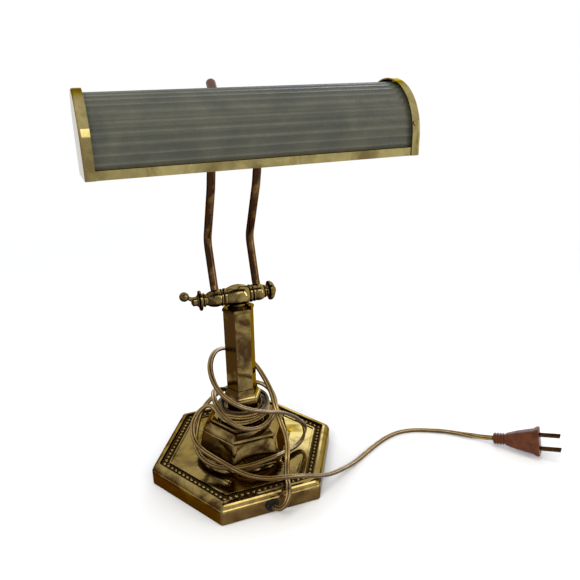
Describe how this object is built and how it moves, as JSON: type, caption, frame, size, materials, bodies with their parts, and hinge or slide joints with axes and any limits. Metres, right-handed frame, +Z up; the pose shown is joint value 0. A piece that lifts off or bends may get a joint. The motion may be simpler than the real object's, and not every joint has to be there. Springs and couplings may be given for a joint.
{
  "type": "piano lamp",
  "caption": "Brass piano lamp: reeded half-trough shade on two bent arms that tilt on a clamped baluster over a hexagonal column and beaded base, with a wound cord and plug.",
  "frame": {"origin": "centre of the base's underside, on the surface that the lamp stands on", "axes": "+Z up along the column, +X along the shade and the baluster, -Y to the front"},
  "size_m": [0.3637, 0.1802, 0.3235],
  "materials": {
    "polished_brass": "polished",
    "iron": "rough",
    "steel": "plain",
    "felt": "felt",
    "grommet": "satin",
    "cord": "clear gold",
    "wire": "satin",
    "plug": "translucent amber",
    "blades": "tarnished",
    "panel": "satin, reeded",
    "shell_inside": "satin",
    "holder": "phenolic",
    "lamp_cap": "rolled",
    "glass": "clear",
    "black": "satin",
    "knob": "dark brown"
  },
  "bodies": {
    "base": {"base_shell": "polished_brass", "base_weight": "iron", "bottom_plate": "steel", "felt_pad": "felt", "cord_grommet": "grommet", "plinth_block": "polished_brass", "plinth_collar": "polished_brass", "column_neck": "polished_brass", "column_foot": "polished_brass", "column_tube": "polished_brass", "column_cap": "polished_brass", "threaded_pipe": "steel", "pipe_washer": "steel", "pipe_nut": "steel", "supply_lead": "cord", "pivot_body": "polished_brass", "pivot_bolt": "polished_brass", "cord_lead": "cord", "cord_run": "cord", "cord_winding": "cord", "plug_body": "plug", "plug_blades": "blades"},
    "arms": {"left_knuckle": "polished_brass", "right_knuckle": "polished_brass", "left_arm": "polished_brass", "right_arm": "polished_brass", "left_eye": "polished_brass", "right_eye": "polished_brass", "arm_wire": "wire", "cross_rod": "steel", "rod_nuts": "polished_brass", "clamp_disc": "polished_brass"},
    "lever": {"clamp_lever": "polished_brass", "lever_ball": "polished_brass"},
    "shade": {"fluted_panel": "panel", "front_strip": "polished_brass", "back_shell": "polished_brass", "panel_rail": "shell_inside", "left_end_cap": "polished_brass", "right_end_cap": "polished_brass", "cap_rivets": "polished_brass", "shade_bracket": "polished_brass", "strap_rivets": "steel", "lamp_holder": "holder", "holder_contact": "blades", "holder_bracket": "steel", "lamp_cap": "lamp_cap", "lamp_glass": "glass", "switch_body": "black", "switch_nut": "polished_brass", "shade_wire": "wire"},
    "knob": {"switch_knob": "knob"}
  },
  "joints": [
    {"name": "arm_tilt", "type": "hinge", "parent": "base", "child": "arms", "pos_m": [0, 0, 0.1594], "axis": [1, 0, 0], "range_deg": [-35, 55]},
    {"name": "lever_turn", "type": "hinge", "parent": "base", "child": "lever", "pos_m": [-0.035, 0, 0.1594], "axis": [1, 0, 0], "range_deg": [-15, 165]},
    {"name": "shade_tilt", "type": "hinge", "parent": "arms", "child": "shade", "pos_m": [0, -0.009, 0.283], "axis": [1, 0, 0], "range_deg": [-60, 6]},
    {"name": "switch_turn", "type": "hinge", "parent": "shade", "child": "knob", "pos_m": [-0.0155, -0.02082, 0.31518], "axis": [0, 0.7071, 0.7071], "continuous": true}
  ]
}
